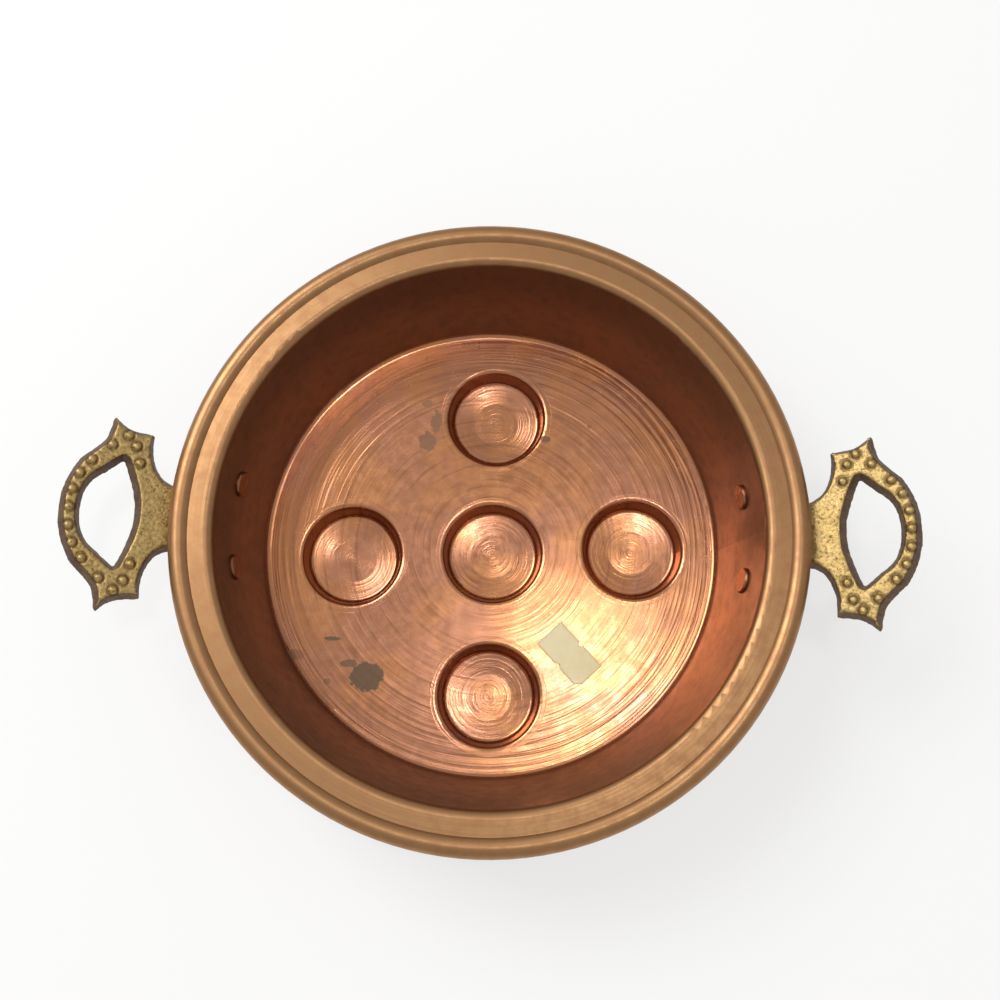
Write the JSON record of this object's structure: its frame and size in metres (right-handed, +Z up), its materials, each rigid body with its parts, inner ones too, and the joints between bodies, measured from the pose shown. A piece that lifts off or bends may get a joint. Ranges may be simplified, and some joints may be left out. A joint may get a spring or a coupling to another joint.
{
  "type": "egg poacher pan",
  "caption": "Round copper egg poacher pan with pressed egg wells, a wired rolled rim and two riveted cast brass handles.",
  "frame": {"origin": "middle of the plane that the pan rests on, below the middle of its mouth", "axes": "+X along the two handles, +Z up out of the pan's mouth"},
  "size_m": [0.265, 0.2004, 0.0618],
  "materials": {
    "copper": "satin",
    "cast_brass": "rough",
    "wire": "satin"
  },
  "bodies": {
    "root": {"pan_body": "copper", "rim_wire": "wire", "left_handle": "cast_brass", "right_handle": "cast_brass", "left_front_rivet": "copper", "left_rear_rivet": "copper", "right_front_rivet": "copper", "right_rear_rivet": "copper"}
  },
  "joints": []
}
